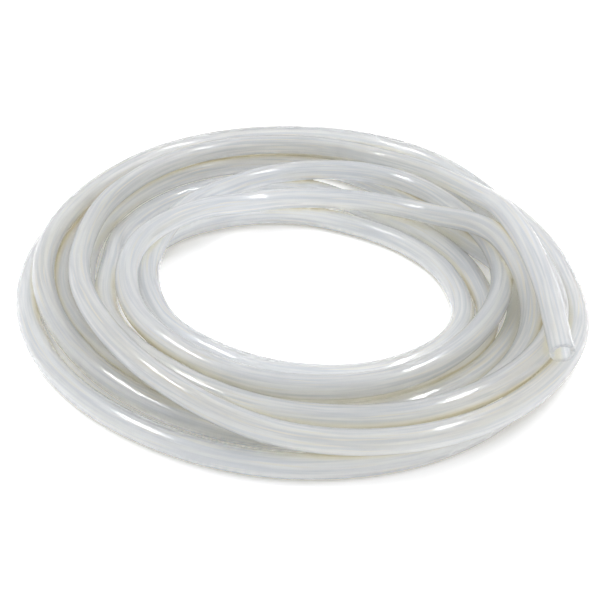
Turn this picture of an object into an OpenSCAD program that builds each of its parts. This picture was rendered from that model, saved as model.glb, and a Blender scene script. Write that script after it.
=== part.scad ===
// Silicone tubing coil
//
// One length of soft, translucent silicone tubing, wound by hand into a loose
// coil of about eight and a half turns and laid flat on a bench. Both ends are
// cut square and open, so the bore runs through the whole length. The coil's
// eye stays open.
//
// Millimetres. +Z is up and the bench is z = 0. The origin is on the bench
// under the middle of the coil. Angles along the tubing run anticlockwise seen
// from above, with 0 on the +X side, and go on past 360 for each further turn.

/* [Tubing] */
// Bore of the tubing
tube_bore = 6.4; // [4:0.1:10]
// Thickness of the tubing's wall
tube_wall = 1.6; // [0.8:0.1:2.4]

/* [Coil] */
// Clear width of the open eye inside the innermost turn
eye_width = 92; // [70:1:160]
// Air left between turns that lie against each other
turn_gap = 0.3; // [0.2:0.05:1]
// Straight length behind each square-cut end
end_length = 8; // [5:0.5:14]

/* [Hidden] */

tube_od = tube_bore + 2 * tube_wall;
pitch = tube_od + turn_gap;

// How the tubing is laid. Each row is one turn, and each number in it is the
// place of the tubing at one of twelve clock positions, 30 degrees apart.
// The rows follow on from each other, so the tubing is one unbroken run.
clock_start = -60;
clock_step = 30;

// Lane: how many tubings out from the eye's edge the tubing lies, 0 innermost.
LANES = [
    [10.5, 6.3, 4.0, 4.3, 5.1, 5.7, 5.7, 5.1, 4.5, 4.5, 5.2, 6.5],
    [ 7.3, 7.2, 6.7, 6.6, 7.0, 7.6, 7.7, 7.3, 6.9, 6.6, 6.5, 6.8],
    [ 6.9, 6.4, 5.7, 5.6, 6.0, 6.5, 6.7, 6.2, 5.5, 4.6, 4.1, 4.2],
    [ 4.5, 4.6, 4.3, 3.0, 3.9, 5.4, 5.7, 5.2, 4.5, 3.5, 3.0, 3.0],
    [ 3.4, 3.6, 2.6, 1.8, 1.6, 3.0, 4.1, 4.1, 3.2, 3.8, 4.3, 5.3],
    [ 6.2, 6.4, 5.4, 5.4, 6.3, 7.0, 7.2, 6.7, 6.2, 5.5, 5.2, 5.3],
    [ 5.6, 5.5, 3.7, 1.9, 0.7, 0.2, 0.1, 0.6, 2.0, 2.8, 3.1, 3.6],
    [ 3.9, 3.8, 3.6, 3.4, 3.5, 2.9, 2.0, 1.6, 1.6, 1.4, 1.3, 1.7],
    [ 2.3, 2.5, 1.5, 0.5, 0.0, 0.3, 1.0, 2.0, 2.6, 2.6, 2.6, 2.6]
];

// Layer: how many tubings up from the bench it rides, 0 lying on the bench.
LAYERS = [
    [1.4, 2.3, 3.0, 1.7, 1.0, 1.0, 1.2, 1.3, 1.3, 1.8, 1.6, 1.1],
    [0.9, 0.6, 0.0, 0.0, 0.0, 0.0, 0.0, 0.0, 0.0, 0.0, 0.0, 0.0],
    [0.0, 0.0, 0.0, 0.0, 0.0, 0.0, 0.0, 0.0, 0.0, 0.0, 0.0, 0.0],
    [0.0, 0.0, 0.0, 0.0, 0.0, 0.0, 0.2, 0.3, 0.0, 0.0, 0.0, 0.0],
    [0.0, 0.0, 0.0, 0.0, 0.0, 0.0, 0.0, 0.0, 0.8, 1.0, 1.1, 1.1],
    [1.1, 1.2, 1.0, 1.0, 1.0, 0.9, 0.9, 0.9, 0.8, 0.4, 0.1, 0.0],
    [0.1, 0.8, 2.0, 1.2, 1.0, 1.0, 1.2, 1.7, 1.7, 1.4, 1.1, 1.0],
    [1.0, 1.2, 1.0, 1.0, 1.0, 1.0, 1.1, 1.1, 0.4, 0.0, 0.0, 0.0],
    [0.0, 0.0, 0.0, 0.0, 0.0, 0.0, 0.0, 0.0, 0.0, 0.0, 0.0, 0.0]
];

lanes = [for (turn = LANES) each turn];
layers = [for (turn = LAYERS) each turn];

// Angles at which the wound part of the tubing begins and ends
first_angle = -36;
last_angle = 3042;
// Angle between rings of the sweep, which falls alike on every turn
ring_step = 15;

// Sides of the swept wall, outside and in the bore
outer_sides = 12;
bore_sides = 8;
// The swept wall is kept this far inside the round of the straight ends
facet_inset = 0.05;
// How far the swept wall runs on straight past the winding, into each straight
// end, whose round wall starts half way along it and so clear of any ring
end_overlap = 1;
// How far a bore's cutter passes each face that it opens
cut_through = 1;
$fn = 64;

// Value of the smooth curve through b and c, between their neighbours a and d
function blend(a, b, c, d, t) =
    (2 * b + (c - a) * t + (2 * a - 5 * b + 4 * c - d) * t * t
     + (3 * b - a - 3 * c + d) * t * t * t) / 2;

// Entry i of a list, or its first or last entry past either end
function held(list, i) = list[max(0, min(len(list) - 1, i))];

// Smooth value of a list of clock positions at any angle
function along(list, angle) =
    let (
        place = (angle - clock_start) / clock_step,
        k = floor(place)
    )
    blend(held(list, k - 1), held(list, k), held(list, k + 1), held(list, k + 2), place - k);

// Centre line of the tubing, round the eye's own middle
function wound(angle) =
    let (
        reach = (eye_width + tube_od) / 2 + pitch * along(lanes, angle),
        height = tube_od / 2 + pitch * max(0, along(layers, angle))
    )
    [reach * cos(angle), reach * sin(angle), height];

// Middle of the coil's outline, which the origin stands under
winding = [for (angle = [first_angle : 3 : last_angle]) wound(angle)];
across = [for (place = winding) place.x];
along_y = [for (place = winding) place.y];
middle = [
    (min(across) + max(across)) / 2,
    (min(along_y) + max(along_y)) / 2,
    0
];

function route(angle) = wound(angle) - middle;
function unit(v) = v / norm(v);
function heading(angle) = unit(route(angle + 0.5) - route(angle - 0.5));

// Rings of the sweep, each an angle and how far past it along the tubing the
// ring stands. The first and last stand inside the straight ends.
rings = [
    [first_angle, -end_overlap],
    for (angle = [first_angle : ring_step : last_angle - ring_step / 2]) [angle, 0],
    [last_angle, 0],
    [last_angle, end_overlap]
];

// Reach of the bore's corners. Where a straight end begins, its flats stand
// just outside the round bore, so that the round bore runs right through.
function bore_corner(angle) =
    angle == first_angle || angle == last_angle
        ? (tube_bore / 2 + facet_inset) / cos(180 / bore_sides)
        : tube_bore / 2 - facet_inset;

// Points of one ring of the wall, square to the tubing
function ring(stand, radius, sides) =
    let (
        ahead = heading(stand[0]),
        side = unit(cross([0, 0, 1], ahead)),
        up = cross(ahead, side),
        centre = route(stand[0]) + stand[1] * ahead
    )
    [for (j = [0 : sides - 1])
        centre + radius * (cos(360 * j / sides) * side + sin(360 * j / sides) * up)];

// Faces of a wall between rings, and of the flat ring that closes each end
function wall(base, sides) = [
    for (i = [0 : len(rings) - 2], j = [0 : sides - 1])
        let (
            a = base + i * sides + j,
            b = base + i * sides + (j + 1) % sides
        )
        each [[a, b, b + sides], [a, b + sides, a + sides]]
];
function turned(faces) = [for (face = faces) [face[2], face[1], face[0]]];
function closing(outer, bore) = [
    for (q = [0 : 3])
        let (
            o = [for (k = [0 : 3]) outer + (3 * q + k) % outer_sides],
            p = [for (k = [0 : 2]) bore + (2 * q + k) % bore_sides]
        )
        each [
            [o[0], p[0], o[1]],
            [p[0], p[1], o[1]],
            [o[1], p[1], o[2]],
            [p[1], p[2], o[2]],
            [o[2], p[2], o[3]]
        ]
];

// The wound part: a hollow wall swept along the route
module wound_part() {
    outer = [for (stand = rings) each ring(stand, tube_od / 2 - facet_inset, outer_sides)];
    bore = [for (stand = rings) each ring(stand, bore_corner(stand[0]), bore_sides)];
    bore_base = len(outer);
    outer_end = bore_base - outer_sides;
    bore_end = bore_base + len(bore) - bore_sides;
    polyhedron(
        points = concat(outer, bore),
        faces = concat(
            turned(wall(0, outer_sides)),
            wall(bore_base, bore_sides),
            turned(closing(0, bore_base)),
            closing(outer_end, bore_end)
        )
    );
}

// A straight, square-cut end, from where the winding stops; way is 1 or -1
module straight_end(angle, way) {
    away = way * heading(angle);
    turn = atan2(away.y, away.x);
    tilt = acos(away.z);
    start = end_overlap / 2;
    translate(route(angle) + start * away)
        rotate([0, tilt, turn])
            difference() {
                cylinder(d = tube_od, h = end_length - start);
                translate([0, 0, -cut_through])
                    cylinder(d = tube_bore, h = end_length - start + 2 * cut_through);
            }
}

module tubing() {
    color("gainsboro")
        union() {
            wound_part();
            straight_end(first_angle, -1);
            straight_end(last_angle, 1);
        }
}

tubing();
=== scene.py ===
"""A loose coil of translucent silicone tubing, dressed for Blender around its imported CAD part."""
import math

import bpy
import numpy as np
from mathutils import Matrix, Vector
from mathutils.bvhtree import BVHTree


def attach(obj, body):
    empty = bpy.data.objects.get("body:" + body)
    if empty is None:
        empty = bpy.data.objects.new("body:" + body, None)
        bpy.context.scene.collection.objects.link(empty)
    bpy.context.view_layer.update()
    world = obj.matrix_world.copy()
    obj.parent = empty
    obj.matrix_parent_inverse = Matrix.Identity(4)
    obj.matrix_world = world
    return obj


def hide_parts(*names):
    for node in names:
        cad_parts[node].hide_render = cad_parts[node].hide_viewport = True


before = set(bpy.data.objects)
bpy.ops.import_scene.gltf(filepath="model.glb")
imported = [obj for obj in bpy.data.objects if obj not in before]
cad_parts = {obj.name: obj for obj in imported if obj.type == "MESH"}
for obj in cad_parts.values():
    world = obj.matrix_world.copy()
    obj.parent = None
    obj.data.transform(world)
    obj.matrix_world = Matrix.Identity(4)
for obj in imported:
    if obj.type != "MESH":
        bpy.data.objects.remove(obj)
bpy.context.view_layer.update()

# The tubing, in metres
BORE = 0.0064
WALL = 0.0016
OUTSIDE = BORE + 2 * WALL
EYE_WIDTH = 0.092
TURN_GAP = 0.0003
END_LENGTH = 0.008
PITCH = OUTSIDE + TURN_GAP

# How the tubing is laid, as in the CAD part: one row for each turn, and one number for each
# of twelve clock positions. The rows follow on from each other.
CLOCK_START = -60
CLOCK_STEP = 30
FIRST_ANGLE = -36
LAST_ANGLE = 3042

# Lane: how many tubings out from the eye's edge the tubing lies
LANES = [
    [10.5, 6.3, 4.0, 4.3, 5.1, 5.7, 5.7, 5.1, 4.5, 4.5, 5.2, 6.5],
    [7.3, 7.2, 6.7, 6.6, 7.0, 7.6, 7.7, 7.3, 6.9, 6.6, 6.5, 6.8],
    [6.9, 6.4, 5.7, 5.6, 6.0, 6.5, 6.7, 6.2, 5.5, 4.6, 4.1, 4.2],
    [4.5, 4.6, 4.3, 3.0, 3.9, 5.4, 5.7, 5.2, 4.5, 3.5, 3.0, 3.0],
    [3.4, 3.6, 2.6, 1.8, 1.6, 3.0, 4.1, 4.1, 3.2, 3.8, 4.3, 5.3],
    [6.2, 6.4, 5.4, 5.4, 6.3, 7.0, 7.2, 6.7, 6.2, 5.5, 5.2, 5.3],
    [5.6, 5.5, 3.7, 1.9, 0.7, 0.2, 0.1, 0.6, 2.0, 2.8, 3.1, 3.6],
    [3.9, 3.8, 3.6, 3.4, 3.5, 2.9, 2.0, 1.6, 1.6, 1.4, 1.3, 1.7],
    [2.3, 2.5, 1.5, 0.5, 0.0, 0.3, 1.0, 2.0, 2.6, 2.6, 2.6, 2.6],
]

# Layer: how many tubings up from the bench it rides
LAYERS = [
    [1.4, 2.3, 3.0, 1.7, 1.0, 1.0, 1.2, 1.3, 1.3, 1.8, 1.6, 1.1],
    [0.9, 0.6, 0.0, 0.0, 0.0, 0.0, 0.0, 0.0, 0.0, 0.0, 0.0, 0.0],
    [0.0, 0.0, 0.0, 0.0, 0.0, 0.0, 0.0, 0.0, 0.0, 0.0, 0.0, 0.0],
    [0.0, 0.0, 0.0, 0.0, 0.0, 0.0, 0.2, 0.3, 0.0, 0.0, 0.0, 0.0],
    [0.0, 0.0, 0.0, 0.0, 0.0, 0.0, 0.0, 0.0, 0.8, 1.0, 1.1, 1.1],
    [1.1, 1.2, 1.0, 1.0, 1.0, 0.9, 0.9, 0.9, 0.8, 0.4, 0.1, 0.0],
    [0.1, 0.8, 2.0, 1.2, 1.0, 1.0, 1.2, 1.7, 1.7, 1.4, 1.1, 1.0],
    [1.0, 1.2, 1.0, 1.0, 1.0, 1.0, 1.1, 1.1, 0.4, 0.0, 0.0, 0.0],
    [0.0, 0.0, 0.0, 0.0, 0.0, 0.0, 0.0, 0.0, 0.0, 0.0, 0.0, 0.0],
]

# How finely the tubing is drawn
RING_STEP = 2
SIDES = 24
CUT_EASE = 0.00012
# Rings in each straight end
END_RINGS = 4
# Length that one stretch of a drawn streak runs along the tubing
GRAIN_LENGTH = 0.14
# How far from the tubing another turn counts as crowding it, when the painted shade between turns
# is worked out
VIEW_OUT = 0.02
# How far off the skin a look out from it starts, so that it doesn't meet the skin itself
LOOK_START = 0.0002
# How far light spreads inside the silicone
LIGHT_SPREAD = 0.015
# Depth of the fine lines that drawing leaves along the tubing
LINE_DEPTH = 0.0002
# Shares of the silicone that are milky, and of the milkiness that lets light through
MILKY = 0.42
GLOWING = 0.3

# Half the width of the table, and how near to it the coil counts as shading it
TABLE_REACH = 3.0
SHADE_REACH = 0.02
# Light that the table gives in the open, and the lower light painted in the gaps between turns as
# shadow
TABLE_LIGHT = 0.5
GAP_LIGHT = 0.3
# Light that the sky gives, and the height above the horizon from which it is full
SKY_LIGHT = 0.55
SKY_FULL = 0.2
# The two lamps: distance, width, depth and watts
LAMP = (1.2, 0.5, 0.12, 3)


def along(rows, angle):
    """The smooth value of a table of clock positions at each angle."""
    values = np.array(rows).ravel()
    place = (np.asarray(angle, float) - CLOCK_START) / CLOCK_STEP
    k = np.floor(place).astype(int)
    t = place - k
    a, b, c, d = (values[np.clip(k + shift, 0, len(values) - 1)] for shift in (-1, 0, 1, 2))
    square = 2 * a - 5 * b + 4 * c - d
    cube = 3 * b - a - 3 * c + d
    return (2 * b + (c - a) * t + square * t**2 + cube * t**3) / 2


def wound(angle):
    """The centre line of the tubing, round the eye's own middle."""
    turn = np.radians(angle)
    reach = (EYE_WIDTH + OUTSIDE) / 2 + PITCH * along(LANES, angle)
    height = OUTSIDE / 2 + PITCH * np.maximum(0, along(LAYERS, angle))
    return np.stack([reach * np.cos(turn), reach * np.sin(turn), height], axis=-1)


def middle():
    """The middle of the coil's outline, which the origin stands under."""
    winding = wound(np.arange(FIRST_ANGLE, LAST_ANGLE + 1, 3))
    low, high = winding.min(axis=0), winding.max(axis=0)
    return np.array([(low[0] + high[0]) / 2, (low[1] + high[1]) / 2, 0])


def unit(vectors):
    return vectors / np.linalg.norm(vectors, axis=-1, keepdims=True)


def centre_line():
    """Points down the middle of the tubing from cut to cut, and the way it heads at each."""
    angles = np.append(np.arange(FIRST_ANGLE, LAST_ANGLE, RING_STEP), LAST_ANGLE).astype(float)
    points = wound(angles) - middle()
    ahead = unit(wound(angles + 0.5) - wound(angles - 0.5))
    from_cut = np.linspace(END_LENGTH, 0, END_RINGS, endpoint=False)[:, None]
    to_cut = END_LENGTH - from_cut[::-1] + END_LENGTH / END_RINGS
    first = points[0] - from_cut * ahead[0]
    last = points[-1] + to_cut * ahead[-1]
    points = np.concatenate([first, points, last])
    straight = [np.tile(way, (END_RINGS, 1)) for way in (ahead[0], ahead[-1])]
    return points, np.concatenate([straight[0], ahead, straight[1]])


def blocked(corners, outward, ahead):
    """How much of the view out from each corner of the outside other turns close off, 0 to 1."""
    count = len(corners)
    i, j = np.meshgrid(np.arange(count - 1), np.arange(SIDES), indexing="ij")
    i2, j2 = i + 1, (j + 1) % SIDES
    faces = np.stack([i * SIDES + j, i2 * SIDES + j, i2 * SIDES + j2, i * SIDES + j2], axis=-1)
    skin = BVHTree.FromPolygons(corners.reshape(-1, 3).tolist(), faces.reshape(-1, 4).tolist())
    across = np.cross(outward, ahead[:, None])
    ways = [outward]
    for lean, number in ((0.5, 5), (1.1, 7)):
        for step in range(number):
            way = step * 2 * math.pi / number + lean
            flat = math.cos(way) * ahead[:, None] + math.sin(way) * across
            ways.append(math.cos(lean) * outward + math.sin(lean) * flat)
    hits = np.zeros(count * SIDES)
    starts = (corners + outward * LOOK_START).reshape(-1, 3)
    for way in ways:
        for k, (start, toward) in enumerate(zip(starts.tolist(), way.reshape(-1, 3).tolist())):
            reach = skin.ray_cast(start, toward, VIEW_OUT)[3]
            if reach is not None:
                hits[k] += 1 - reach / VIEW_OUT
    return (hits / len(ways)).reshape(count, SIDES)


def tube_mesh(name, points, ahead):
    """A hollow tube with square-cut ends and eased cut edges, closed round from outside to bore."""
    side = unit(np.cross([0.0, 0.0, 1.0], ahead))
    up = np.cross(ahead, side)
    run = np.concatenate([[0], np.cumsum(np.linalg.norm(np.diff(points, axis=0), axis=1))])
    outer, bore = OUTSIDE / 2, BORE / 2
    # Loops of the closed skin: out along the outside and back along the bore
    last = len(points) - 1
    loops = [(0, bore + CUT_EASE, 0), (0, outer - CUT_EASE, 0), (0, outer, CUT_EASE)]
    loops += [(i, outer, 0) for i in range(1, last)]
    loops += [(last, outer, -CUT_EASE), (last, outer - CUT_EASE, 0)]
    loops += [(last, bore + CUT_EASE, 0), (last, bore, -CUT_EASE)]
    loops += [(i, bore, 0) for i in range(last - 1, 0, -1)]
    loops += [(0, bore, CUT_EASE)]
    turn = np.arange(SIDES) * 2 * math.pi / SIDES
    ring = np.array([i for i, _, _ in loops])
    radius = np.array([r for _, r, _ in loops])[:, None, None]
    shift = np.array([s for _, _, s in loops])[:, None, None]
    rounds = np.cos(turn)[:, None] * side[:, None] + np.sin(turn)[:, None] * up[:, None]
    corners = points[ring][:, None] + shift * ahead[ring][:, None] + radius * rounds[ring]

    count = len(loops)
    i, j = np.meshgrid(np.arange(count), np.arange(SIDES), indexing="ij")
    i2, j2 = (i + 1) % count, (j + 1) % SIDES
    faces = np.stack([i * SIDES + j, i * SIDES + j2, i2 * SIDES + j2, i2 * SIDES + j], axis=-1)
    mesh = bpy.data.meshes.new(name)
    mesh.from_pydata(corners.reshape(-1, 3).tolist(), [], faces.reshape(-1, 4).tolist())
    mesh.polygons.foreach_set("use_smooth", np.ones(len(mesh.polygons), dtype=bool))

    # Drawn marks run along the tubing, so the grain is slow that way and quick round it
    grain = np.empty((count, SIDES, 3))
    grain[..., 0] = np.cos(turn) * radius[..., 0] / outer
    grain[..., 1] = np.sin(turn) * radius[..., 0] / outer
    grain[..., 2] = run[ring][:, None] / GRAIN_LENGTH
    mesh.attributes.new("grain", "FLOAT_VECTOR", "POINT").data.foreach_set("vector", grain.ravel())
    # How far other turns close in round the outside, stored as an attribute from which shade is
    # painted into the colour between turns
    outside = points[:, None] + outer * rounds
    crevice_occlusion = blocked(outside, rounds, ahead)
    mesh.attributes.new("painted_crevice_shade", "FLOAT", "POINT").data.foreach_set("value", crevice_occlusion[ring].ravel())
    mesh.update()
    return mesh


def material(name):
    """An empty node material and its node tree."""
    made = bpy.data.materials.new(name)
    made.use_nodes = True
    made.node_tree.nodes.clear()
    return made, made.node_tree


def silicone():
    """Part clear and part milky silicone, with drawn streaks, and painted shade, olive then brown,
    where other turns close in round it.
    """
    made, tree = material("silicone")
    add = tree.nodes.new
    link = tree.links.new

    def mark(name):
        node = add("ShaderNodeAttribute")
        node.attribute_name = name
        return node

    def noise(scale, detail):
        node = add("ShaderNodeTexNoise")
        node.inputs["Scale"].default_value = scale
        node.inputs["Detail"].default_value = detail
        link(mark("grain").outputs["Vector"], node.inputs["Vector"])
        return node.outputs["Fac"]

    def ramp(factor, low, high):
        node = add("ShaderNodeMapRange")
        node.interpolation_type = "SMOOTHSTEP"
        node.inputs["From Min"].default_value = low
        node.inputs["From Max"].default_value = high
        link(factor, node.inputs["Value"])
        return node.outputs["Result"]

    def blend(factor, first, second):
        node = add("ShaderNodeMix")
        node.data_type = "RGBA"
        link(factor, node.inputs["Factor"])
        for socket, colour in ((node.inputs[6], first), (node.inputs[7], second)):
            if isinstance(colour, tuple):
                socket.default_value = (*colour, 1)
            else:
                link(colour, socket)
        return node.outputs[2]

    # Blue-grey and white streaks, a few of them cream, and painted shade, olive then brown, deep
    # between turns
    crevice_occlusion = mark("painted_crevice_shade").outputs["Fac"]
    streaks = blend(ramp(noise(3.0, 3), 0.36, 0.64), (0.66, 0.69, 0.735), (0.84, 0.85, 0.86))
    streaks = blend(ramp(noise(4.6, 1), 0.58, 0.72), streaks, (0.85, 0.82, 0.74))
    haze = blend(ramp(crevice_occlusion, 0.30, 0.60), streaks, (0.79, 0.775, 0.69))
    haze = blend(ramp(crevice_occlusion, 0.60, 0.85), haze, (0.60, 0.53, 0.37))
    # Painted shade: the clear silicone's colour turns olive where other turns close in
    through = blend(ramp(crevice_occlusion, 0.25, 0.70), (0.955, 0.96, 0.965), (0.94, 0.92, 0.83))

    clear = add("ShaderNodeBsdfPrincipled")
    link(through, clear.inputs["Base Color"])
    clear.inputs["Roughness"].default_value = 0.08
    clear.inputs["IOR"].default_value = 1.41
    clear.inputs["Transmission Weight"].default_value = 1
    milky = add("ShaderNodeBsdfPrincipled")
    link(haze, milky.inputs["Base Color"])
    milky.inputs["Roughness"].default_value = 0.3
    milky.subsurface_method = "BURLEY"
    milky.inputs["Subsurface Weight"].default_value = 1
    milky.inputs["Subsurface Radius"].default_value = (1, 1, 1)
    milky.inputs["Subsurface Scale"].default_value = LIGHT_SPREAD
    drawn = add("ShaderNodeBump")
    drawn.inputs["Strength"].default_value = 0.5
    drawn.inputs["Distance"].default_value = LINE_DEPTH
    link(noise(6.0, 2), drawn.inputs["Height"])
    for skin in (clear, milky):
        link(drawn.outputs["Normal"], skin.inputs["Normal"])
        link(drawn.outputs["Normal"], skin.inputs["Coat Normal"])
        skin.inputs["Coat Weight"].default_value = 1
        skin.inputs["Coat Roughness"].default_value = 0.05
        skin.inputs["Coat IOR"].default_value = 1.5
    glow = add("ShaderNodeBsdfTranslucent")
    link(haze, glow.inputs["Color"])
    inside = add("ShaderNodeMixShader")
    inside.inputs["Fac"].default_value = GLOWING
    link(milky.outputs["BSDF"], inside.inputs[1])
    link(glow.outputs["BSDF"], inside.inputs[2])
    both = add("ShaderNodeMixShader")
    both.inputs["Fac"].default_value = MILKY
    out = add("ShaderNodeOutputMaterial")
    link(clear.outputs["BSDF"], both.inputs[1])
    link(inside.outputs["Shader"], both.inputs[2])
    link(both.outputs["Shader"], out.inputs["Surface"])
    return made


def floor():
    """A white light table. Where the coil closes in over it, an occlusion node paints shadow: its
    glow is dimmer and its colour a little olive.
    """
    mesh = bpy.data.meshes.new("floor")
    r = TABLE_REACH
    mesh.from_pydata([(-r, -r, 0), (r, -r, 0), (r, r, 0), (-r, r, 0)], [], [(0, 1, 2, 3)])
    plane = bpy.data.objects.new("floor", mesh)
    bpy.context.scene.collection.objects.link(plane)
    made, tree = material("floor")
    add = tree.nodes.new
    link = tree.links.new
    # Painted shadow: the coil's occlusion over the table dims its glow and tints it olive in the
    # gaps between turns
    around = add("ShaderNodeAmbientOcclusion")
    around.samples = 8
    around.inputs["Distance"].default_value = SHADE_REACH
    opened = add("ShaderNodeMapRange")
    opened.inputs["From Min"].default_value = 0.26
    opened.inputs["From Max"].default_value = 0.37
    link(around.outputs["AO"], opened.inputs["Value"])
    gap_shade_tint = add("ShaderNodeMix")
    gap_shade_tint.data_type = "RGBA"
    gap_shade_tint.inputs[6].default_value = (0.78, 0.76, 0.66, 1)
    gap_shade_tint.inputs[7].default_value = (0.92, 0.92, 0.92, 1)
    link(opened.outputs["Result"], gap_shade_tint.inputs["Factor"])
    matte = add("ShaderNodeBsdfDiffuse")
    link(gap_shade_tint.outputs[2], matte.inputs["Color"])
    level = add("ShaderNodeMapRange")
    level.inputs["To Min"].default_value = GAP_LIGHT
    level.inputs["To Max"].default_value = TABLE_LIGHT
    link(opened.outputs["Result"], level.inputs["Value"])
    lit = add("ShaderNodeEmission")
    link(level.outputs["Result"], lit.inputs["Strength"])
    both = add("ShaderNodeAddShader")
    out = add("ShaderNodeOutputMaterial")
    link(matte.outputs["BSDF"], both.inputs[0])
    link(lit.outputs["Emission"], both.inputs[1])
    link(both.outputs["Shader"], out.inputs["Surface"])
    mesh.materials.append(made)


def lamp(name, toward, distance, width, depth, power):
    light = bpy.data.lights.new(name, "AREA")
    light.shape = "RECTANGLE"
    light.size = width
    light.size_y = depth
    light.energy = power
    holder = bpy.data.objects.new(name, light)
    way = Vector(toward).normalized()
    holder.location = way * distance
    holder.rotation_mode = "QUATERNION"
    holder.rotation_quaternion = way.to_track_quat("Z", "Y")
    bpy.context.scene.collection.objects.link(holder)


def sky():
    """A soft white tent. It lights less from near the horizon, and is seen as white all round."""
    world = bpy.data.worlds.new("world")
    world.use_nodes = True
    tree = world.node_tree
    place = tree.nodes.new("ShaderNodeTexCoord")
    parts = tree.nodes.new("ShaderNodeSeparateXYZ")
    level = tree.nodes.new("ShaderNodeMapRange")
    level.inputs["From Max"].default_value = SKY_FULL
    level.inputs["To Max"].default_value = SKY_LIGHT
    tree.links.new(place.outputs["Generated"], parts.inputs["Vector"])
    tree.links.new(parts.outputs["Z"], level.inputs["Value"])
    ray = tree.nodes.new("ShaderNodeLightPath")
    strength = level.outputs["Result"]
    for kind in ("Is Camera Ray", "Is Glossy Ray", "Is Transmission Ray"):
        white = tree.nodes.new("ShaderNodeMix")
        white.inputs["B"].default_value = 1
        tree.links.new(ray.outputs[kind], white.inputs["Factor"])
        tree.links.new(strength, white.inputs["A"])
        strength = white.outputs["Result"]
    tree.links.new(strength, tree.nodes["Background"].inputs["Strength"])
    tree.nodes["Background"].inputs["Color"].default_value = (1, 1, 1, 1)
    return world


def camera():
    eye = bpy.data.cameras.new("camera")
    eye.sensor_width = 36
    eye.lens = 65.1
    eye.clip_start = 0.01
    eye.clip_end = 20
    holder = bpy.data.objects.new("camera", eye)
    bpy.context.scene.collection.objects.link(holder)
    target = Vector((0.00098, -0.02512, 0.00768))
    distance = 0.4608
    elevation = math.radians(35.5)
    back = Vector((0, -math.cos(elevation), math.sin(elevation)))
    holder.location = target + back * distance
    holder.rotation_mode = "QUATERNION"
    holder.rotation_quaternion = back.to_track_quat("Z", "Y")
    bpy.context.scene.camera = holder


camera()
points, ahead = centre_line()
mesh = tube_mesh("coil", points, ahead)
mesh.materials.append(silicone())
tube = bpy.data.objects.new("coil", mesh)
bpy.context.scene.collection.objects.link(tube)
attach(tube, "root")
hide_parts("tubing")
floor()
lamp("left_light", (-0.5, 0.1, 0.86), *LAMP)
lamp("right_light", (0.4, 0.1, 0.86), *LAMP)
scene = bpy.context.scene
scene.view_settings.view_transform = "Standard"
scene.world = sky()
